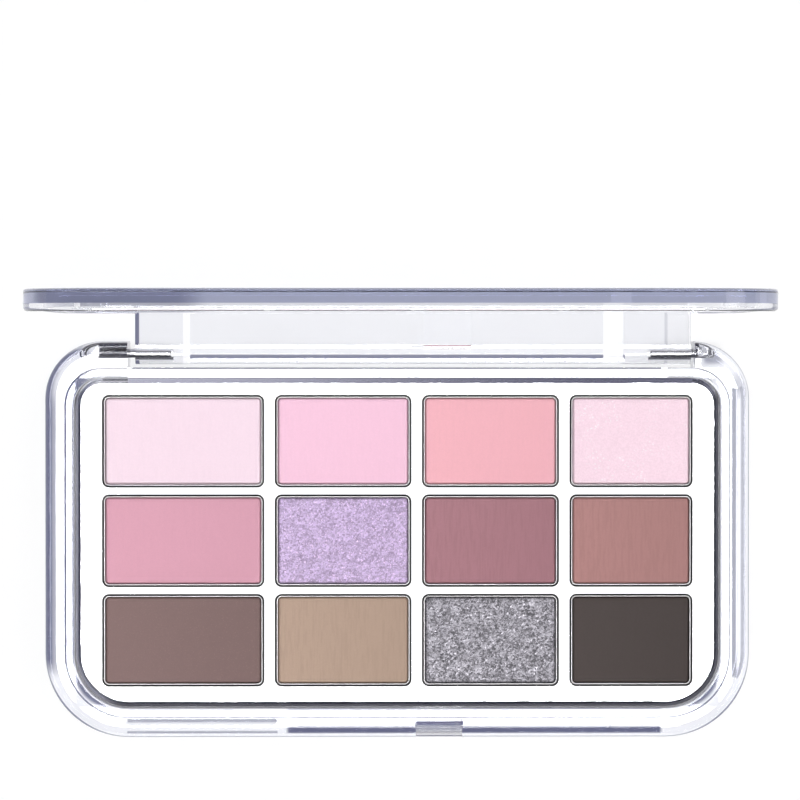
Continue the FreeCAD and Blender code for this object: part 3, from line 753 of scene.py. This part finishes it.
class PowderLook(bpy.types.PropertyGroup):
    """Grain and relief of the pressed powders."""

    corner: FloatProperty(
        name="Corner", description="Corner radius of the cakes", unit="LENGTH",
        min=0.0, default=0.8 * MM)
    bevel_width: FloatProperty(
        name="Bevel width", description="Width of the soft edge of a cake", unit="LENGTH",
        min=0.0, default=0.9 * MM)
    bevel_depth: FloatProperty(
        name="Bevel depth", description="Depth of the soft edge of a cake", unit="LENGTH",
        min=0.0, default=0.2 * MM)
    groove_width: FloatProperty(
        name="Groove width", description="Width of the groove beside the pan's wall", unit="LENGTH",
        min=0.0, default=0.3 * MM)
    groove_depth: FloatProperty(
        name="Groove depth", description="Depth of the groove beside the pan's wall", unit="LENGTH",
        min=0.0, default=0.6 * MM)
    press_relief: FloatProperty(
        name="Press relief", description="Depth of the unevenness left by pressing", unit="LENGTH",
        min=0.0, default=0.05 * MM)
    grain: FloatProperty(
        name="Grain", description="Size of the powder's grain", unit="LENGTH",
        min=0.0, default=0.35 * MM)
    grain_relief: FloatProperty(
        name="Grain relief", description="Depth of the powder's grain", unit="LENGTH",
        min=0.0, default=0.012 * MM)
    line_strength: FloatProperty(
        name="Brush lines", description="Strength of the fine lines across a cake",
        min=0.0, max=1.0, default=0.25)
    speck_strength: FloatProperty(
        name="Specks", description="Strength of the paler specks in a cake",
        min=0.0, max=1.0, default=0.4)
    grain_contrast: FloatProperty(
        name="Grain contrast", description="How much darker the powder is between its grains",
        min=0.0, max=1.0, default=0.15)
    gloss: FloatProperty(
        name="Gloss", description="Strength of the powders' sheen", min=0.0, max=1.0, default=0.12)
    lilac_depth: FloatProperty(
        name="Lilac depth", description="Share of the lilac that the flakes have before they sparkle",
        min=0.0, max=1.0, default=0.88)
    silver_depth: FloatProperty(
        name="Silver depth", description="Share of the silver that the flakes have before they sparkle",
        min=0.0, max=1.0, default=0.79)
    # Sparkle sets the contrast of the painted glint and tone between flakes, and of the painted shade in the
    # crevices
    lilac_sparkle: FloatProperty(
        name="Lilac sparkle", description="Contrast of the lilac glitter", min=0.0, max=1.0, default=0.4)
    silver_sparkle: FloatProperty(
        name="Silver sparkle", description="Contrast of the silver glitter", min=0.0, max=1.0, default=0.9)
    flake: FloatProperty(
        name="Flake", description="Size of the glitter flakes", unit="LENGTH",
        min=0.0, default=0.36 * MM)
    flake_relief: FloatProperty(
        name="Flake relief", description="How far the glitter flakes stand up", unit="LENGTH",
        min=0.0, default=0.1 * MM)
    mesh_step: FloatProperty(
        name="Mesh step", description="Spacing of the mesh of a powder cake", unit="LENGTH",
        min=0.05 * MM, default=0.3 * MM)
    glitter_step: FloatProperty(
        name="Glitter step", description="Spacing of the mesh of a glitter cake", unit="LENGTH",
        min=0.05 * MM, default=0.16 * MM)


class ShadeColours(bpy.types.PropertyGroup):
    """Colour of each shade."""

    __annotations__ = {
        shade: FloatVectorProperty(
            name=shade.replace("_", " ").capitalize(), description="Colour of this powder",
            subtype="COLOR", min=0.0, max=1.0, default=RECORD_COLOURS[f"powder_{shade}"])
        for shade in SHADES
    }


class StageSetup(bpy.types.PropertyGroup):
    """Camera, light and floor."""

    camera_place: FloatVectorProperty(
        name="Camera", description="Where the camera stands", subtype="XYZ", unit="LENGTH",
        default=(-9.6 * MM, 40.0 * MM, 819.0 * MM))
    camera_aim: FloatVectorProperty(
        name="Aim", description="Where the camera looks", subtype="XYZ", unit="LENGTH",
        default=(0.5 * MM, 27.7 * MM, 9.7 * MM))
    lens: FloatProperty(name="Lens", description="Focal length", unit="CAMERA", default=183.0)
    room: FloatVectorProperty(
        name="Room", description="Colour of the room above the horizon",
        subtype="COLOR", min=0.0, max=1.0, default=(0.43, 0.43, 0.435))
    pale_side: FloatVectorProperty(
        name="Pale horizon", description="Colour low down at the left and the rear",
        subtype="COLOR", min=0.0, max=1.0, default=(0.60, 0.60, 0.70))
    dark_side: FloatVectorProperty(
        name="Dark horizon", description="Colour low down at the right and the front",
        subtype="COLOR", min=0.0, max=1.0, default=(0.02, 0.02, 0.045))
    floor_colour: FloatVectorProperty(
        name="Floor", description="Colour of the floor",
        subtype="COLOR", min=0.0, max=1.0, default=(0.3, 0.3, 0.3))
    floor_shade: FloatVectorProperty(
        name="Floor shade", description="Colour of the shaded floor under the palette",
        subtype="COLOR", min=0.0, max=1.0, default=(0.09, 0.095, 0.16))
    floor_glow: FloatProperty(
        name="Floor glow", description="Brightness that is added to the floor as it is seen",
        min=0.0, max=1.0, default=0.72)
    overhead_radiance: FloatProperty(
        name="Overhead light", description="Brightness of the lamp above the camera",
        min=0.0, default=12.4)
    overhead_size: FloatProperty(
        name="Overhead size", description="Width and depth of the lamp above", unit="LENGTH",
        min=0.0, default=0.66)
    overhead_rear: FloatProperty(
        name="Overhead rear", description="Where the lamp above ends at the hinge side",
        unit="LENGTH", default=36 * MM)
    overhead_height: FloatProperty(
        name="Overhead height", description="Height of the lamp above", unit="LENGTH",
        min=0.0, default=1.6)
    case_radiance: FloatProperty(
        name="Case panel", description="Brightness of the panel that the base's rim mirrors",
        min=0.0, default=26.0)
    panel_radiance: FloatProperty(
        name="Tray panel", description="Brightness of the panels that the tray and the pins mirror",
        min=0.0, default=1.3)
    side_radiance: FloatProperty(
        name="Side light", description="Brightness of the soft lamp at the right",
        min=0.0, default=2.0)


class PaletteLook(bpy.types.PropertyGroup):
    """Everything that can be changed on the palette."""

    case: PointerProperty(type=CaseLook)
    metal: PointerProperty(type=MetalLook)
    powder: PointerProperty(type=PowderLook)
    shades: PointerProperty(type=ShadeColours)
    stage: PointerProperty(type=StageSetup)


class PALETTE_OT_case(bpy.types.Operator):
    """Dress the base and the lid in clear plastic"""

    bl_idname = "palette.case"
    bl_label = "Clear case"

    def execute(self, context):
        material = clear_plastic(context.scene.palette_look.case)
        for node in ("base_shell", "lid"):
            dress(node, material)
        return {"FINISHED"}


class PALETTE_OT_metal(bpy.types.Operator):
    """Dress the tray, the pans, the hinge pins and the glue under the pans"""

    bl_idname = "palette.metal"
    bl_label = "Tray, pans and pins"

    def execute(self, context):
        metal = context.scene.palette_look.metal
        dress("tray", tray_silver(metal))
        steel = pin_steel(metal)
        for side in ("left", "right"):
            dress(f"hinge_pin_{side}", steel)
        dress("pan_glue_dots", set_glue())
        self.add_pans(metal)
        return {"FINISHED"}

    def add_pans(self, metal):
        material = pan_metal(metal)
        for shade in SHADES:
            node = f"pan_{shade}"
            low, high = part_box(node)
            profile = pan_profile((low, high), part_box(f"powder_{shade}"), metal.pan_bend)
            data = swept_mesh(f"dish_{shade}", low, high, metal.pan_corner, profile)
            data.materials.append(material)
            new_piece(f"dish_{shade}", data, node, "base")


class PALETTE_OT_powders(bpy.types.Operator):
    """Press the powder and glitter cakes"""

    bl_idname = "palette.powders"
    bl_label = "Powders"

    def execute(self, context):
        look = context.scene.palette_look
        powder = look.powder
        finishes = ((MATTE, pressed_powder), (SHIMMER, pressed_shimmer), (GLITTER, pressed_glitter))
        for shades, finish in finishes:
            for shade in shades:
                self.press(powder, shade, finish(shade, getattr(look.shades, shade), powder))
        return {"FINISHED"}

    def press(self, powder, shade, material):
        node = f"powder_{shade}"
        low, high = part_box(node)
        glitter = shade in GLITTER

        def height(x, y, inset):
            place = Vector((x, y, 0.0))
            soft = max(0.0, 1.0 - inset / powder.bevel_width)
            groove = max(0.0, 1.0 - inset / powder.groove_width)
            depth = powder.bevel_depth * soft ** 2 + powder.groove_depth * groove
            uneven = powder.press_relief * (0.5 + 0.5 * noise.noise(place / PRESS_SIZE))
            if glitter:
                uneven += powder.flake_relief * flake_height(place / powder.flake)
            else:
                uneven += powder.grain_relief * (0.5 + 0.5 * noise.noise(place / powder.grain))
            return depth + uneven * min(inset / powder.bevel_width, 1.0)

        step = powder.glitter_step if glitter else powder.mesh_step
        data = cake_mesh(f"cake_{shade}", low, high, powder.corner, step, height)
        data.materials.append(material)
        new_piece(f"cake_{shade}", data, node, "base")


class PALETTE_OT_stage(bpy.types.Operator):
    """Set up the camera, the light and the floor"""

    bl_idname = "palette.stage"
    bl_label = "Stage"

    def execute(self, context):
        stage = context.scene.palette_look.stage
        self.add_camera(context, stage)
        self.add_world(context, stage)
        self.add_lamps(context, stage)
        self.add_panels(context, stage)
        self.add_floor(context, stage)
        context.scene.view_settings.view_transform = "Standard"
        return {"FINISHED"}

    def add_camera(self, context, stage):
        data = bpy.data.cameras.new("camera")
        data.lens = stage.lens
        data.clip_start, data.clip_end = SIGHT
        camera = bpy.data.objects.new("camera", data)
        camera.location = stage.camera_place
        back = (Vector(stage.camera_place) - Vector(stage.camera_aim)).normalized()
        right = Vector((0.0, 1.0, 0.0)).cross(back).normalized()
        turn = Matrix((right, back.cross(right), back)).transposed()
        camera.rotation_mode = "QUATERNION"
        camera.rotation_quaternion = turn.to_quaternion()
        context.scene.collection.objects.link(camera)
        context.scene.camera = camera

    def add_world(self, context, stage):
        world = bpy.data.worlds.new("studio")
        context.scene.world = world
        tree = Tree(world)
        way = tree.out(tree.add("ShaderNodeTexCoord"), "Generated")
        across, along, up = (tree.axis(way, name) for name in "XYZ")
        side = (DIAGONAL * across - DIAGONAL * along).ramp(*HORIZON_TURN)
        low = tree.mix(side, stage.pale_side, stage.dark_side)
        colour = tree.mix(up.ramp(*HORIZON_TOP), low, stage.room)
        back = tree.add("ShaderNodeBackground", {}, {"Color": colour, "Strength": 1.0})
        tree.add("ShaderNodeOutputWorld", {}, {"Surface": tree.out(back)})

    def add_lamp(self, context, name, place, aim, size, radiance):
        data = bpy.data.lights.new(name, "AREA")
        data.shape = "RECTANGLE"
        data.size, data.size_y = size
        data.energy = radiance * math.pi * size[0] * size[1]
        lamp = bpy.data.objects.new(name, data)
        lamp.location = place
        lamp.rotation_mode = "QUATERNION"
        lamp.rotation_quaternion = (Vector(aim) - lamp.location).to_track_quat("-Z", "Y")
        context.scene.collection.objects.link(lamp)

    def add_lamps(self, context, stage):
        size = stage.overhead_size
        above = Vector((0.0, stage.overhead_rear - size / 2, stage.overhead_height))
        self.add_lamp(context, "overhead", above, above - UP, (size, size), stage.overhead_radiance)
        self.add_lamp(context, "side", SIDE_LAMP, (0.0, 0.0, 0.0), SIDE_LAMP_SIZE, stage.side_radiance)

    def add_panels(self, context, stage):
        """Panels under the lamp above, each where the camera sees it mirrored."""
        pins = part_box("hinge_pin_left")[0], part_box("hinge_pin_right")[1]
        self.add_panel(context, stage, "case_panel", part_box("base_shell"), 1, stage.case_radiance)
        self.add_panel(context, stage, "tray_panel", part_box("tray"), 2, stage.panel_radiance)
        self.add_panel(context, stage, "pin_panel", pins, 2, stage.panel_radiance)
        for name, strip in CARD_STRIPS.items():
            self.add_panel(context, stage, name, strip, 3, 0.0)

    def add_panel(self, context, stage, name, box, level, radiance):
        """A plain panel that is mirrored by the top of a box."""
        material, tree = new_material(name)
        tree.surface(tree.principled({
            "Base Color": (0.0, 0.0, 0.0, 1.0),
            "Specular IOR Level": 0.0,
            "Emission Color": (1.0, 1.0, 1.0, 1.0),
            "Emission Strength": radiance,
        }))
        eye = Vector(stage.camera_place)
        ceiling = stage.overhead_height - level * PANEL_DROP
        spread = (ceiling - box[1].z) / (eye.z - box[1].z)
        low, high = (corner + spread * (corner - eye) for corner in box)
        high.y = min(high.y, stage.overhead_rear)
        panel = self.add_quad(context, name, low, high, ceiling)
        panel.data.materials.append(material)

    def add_quad(self, context, name, low, high, z):
        """A level rectangle that belongs to the stage."""
        data = bpy.data.meshes.new(name)
        corners = [(low[0], low[1], z), (high[0], low[1], z), (high[0], high[1], z), (low[0], high[1], z)]
        data.from_pydata(corners, [], [(0, 1, 2, 3)])
        quad = bpy.data.objects.new(name, data)
        context.scene.collection.objects.link(quad)
        return quad

    def add_floor(self, context, stage):
        """White paper, shaded only where it is seen through the plastic."""
        floor = self.add_quad(context, "floor", [-FLOOR_REACH] * 2, [FLOOR_REACH] * 2, -FLOOR_DROP)
        material, tree = new_material("floor")
        path = tree.add("ShaderNodeLightPath")
        direct = tree.out(path, "Is Camera Ray")
        seen = direct.max(tree.out(path, "Is Glossy Ray")).max(tree.out(path, "Is Transmission Ray"))
        place = tree.place()
        paper = tree.noise(place, PAPER_SIZE, 2.0)
        shade = self.under_base(tree, place)
        for strength, patch in self.floor_shades():
            shade = shade.max(strength * self.patch(tree, place, *patch))
        shade = shade.max(self.under_lid(tree, place)) * (1 - direct)
        glow = tree.mix(shade, [stage.floor_glow] * 3, stage.floor_shade)
        lit = tree.mix(paper, stage.floor_colour, scaled(stage.floor_colour, PAPER_SHADE))
        shell = tree.principled({
            "Base Color": tree.mix(shade, lit, scaled(stage.floor_shade, 0.5)),
            "Roughness": 0.95,
            "Specular IOR Level": 0.0,
            "Emission Color": tree.mix(seen, (0.0, 0.0, 0.0), glow),
            "Emission Strength": 1.0,
        })
        tree.surface(shell)
        floor.data.materials.append(material)

    def floor_shades(self):
        """Strength, outline and softness of each small shade that the case throws on the floor."""
        axis = frame["joints"][0]["pos_m"][1]
        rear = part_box("lid")[1].y
        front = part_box("base_shell")[0].y
        line = [axis - reach for reach in FRONT_LINE]
        shades = [(LUG_SHADE, (*span, axis - LUG_REACH, rear)) for span in LUG_SPANS]
        shades += [(FRONT_SHADE, (*span, *line)) for span in LUG_SPANS[1:]]
        shades += [(END_SHADE, (*END_LINE, axis, rear - LID_DEPTH)),
                   (WINDOW_SHADE, (*WINDOW_LINE, axis, rear - LID_DEPTH)),
                   (BAND_SHADE, (BAND_LEFT, BAND_RIGHT, front + BAND_START, front + BAND_STOP, BAND_SOFT))]
        return [*shades, *SHOULDER_SHADES, *((CARD_SHADE, strip) for strip in CARD_SHADES)]

    def patch(self, tree, place, left, right, front, rear, soft=LINE_SOFT):
        """1 inside a rectangle on the floor, 0 outside, with a soft edge."""
        inside = 1.0
        for name, start, end in (("X", left, right), ("Y", front, rear)):
            beyond = (tree.axis(place, name) - (start + end) / 2).abs() - (end - start) / 2
            inside = inside * (1 - beyond.ramp(-soft, soft))
        return inside

    def under_lid(self, tree, place):
        """Shade on the floor under the left end of the open lid."""
        left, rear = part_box("lid")[0].x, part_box("lid")[1].y
        strip = self.patch(tree, place, left + LID_INSET, 0.0, rear - LID_DEPTH, rear + LID_SPILL)
        return LID_SHADE * strip * (1 - tree.axis(place, "X").ramp(*LID_FADE))

    def under_base(self, tree, place):
        """1 on the floor under the base, 0 around it and along the hinge.

        Under the rim it is dark only at the left.
        """
        low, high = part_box("base_shell")
        rim = self.rounded(tree, place, (SHADE_EDGE, SHADE_INNER), SHADE_CORNER, SHADE_SOFT)
        side = self.patch(tree, place, -SHADE_PAST, low.x + SHADE_SIDE, SHADE_FRONT, SHADE_PAST, SHADE_SOFT)
        inner = self.rounded(tree, place, (SHADE_INNER, SHADE_INNER), SHADE_CORNER - SHADE_INNER, MM)
        hinge = self.patch(tree, place, low.x + SHADE_SIDE, high.x - SHADE_SIDE, high.y - SHADE_SIDE,
                           SHADE_PAST, SHADE_SOFT)
        return (rim * side).max(inner) * (1 - hinge)

    def rounded(self, tree, place, insets, radius, soft):
        """1 inside the base's outline less an inset, 0 outside, with a soft edge.

        The second inset is the one at the right.
        """
        low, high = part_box("base_shell")
        beyond = []
        for name, start, end in (("X", low.x + insets[0], high.x - insets[1]),
                                 ("Y", low.y + insets[0], high.y - insets[0])):
            offset = (tree.axis(place, name) - (start + end) / 2).abs()
            beyond.append((offset - (end - start) / 2 + radius).max(0.0))
        reach = (beyond[0] ** 2 + beyond[1] ** 2) ** 0.5
        return 1 - reach.ramp(radius - soft, radius)


OPERATORS = (PALETTE_OT_case, PALETTE_OT_metal, PALETTE_OT_powders, PALETTE_OT_stage)


class PALETTE_PT_panel(bpy.types.Panel):
    """Lists the steps that dress the palette"""

    bl_label = "Eyeshadow palette"
    bl_idname = "PALETTE_PT_panel"
    bl_space_type = "VIEW_3D"
    bl_region_type = "UI"
    bl_category = "Palette"

    def draw(self, context):
        for operator in OPERATORS:
            self.layout.operator(operator.bl_idname)


CLASSES = (CaseLook, MetalLook, PowderLook, ShadeColours, StageSetup, PaletteLook,
           *OPERATORS, PALETTE_PT_panel)


def register():
    for item in CLASSES:
        bpy.utils.register_class(item)
    bpy.types.Scene.palette_look = PointerProperty(type=PaletteLook)


def unregister():
    del bpy.types.Scene.palette_look
    for item in reversed(CLASSES):
        bpy.utils.unregister_class(item)


def main():
    register()
    for operator in OPERATORS:
        group, name = operator.bl_idname.split(".")
        getattr(getattr(bpy.ops, group), name)()


if __name__ == "__main__":
    main()
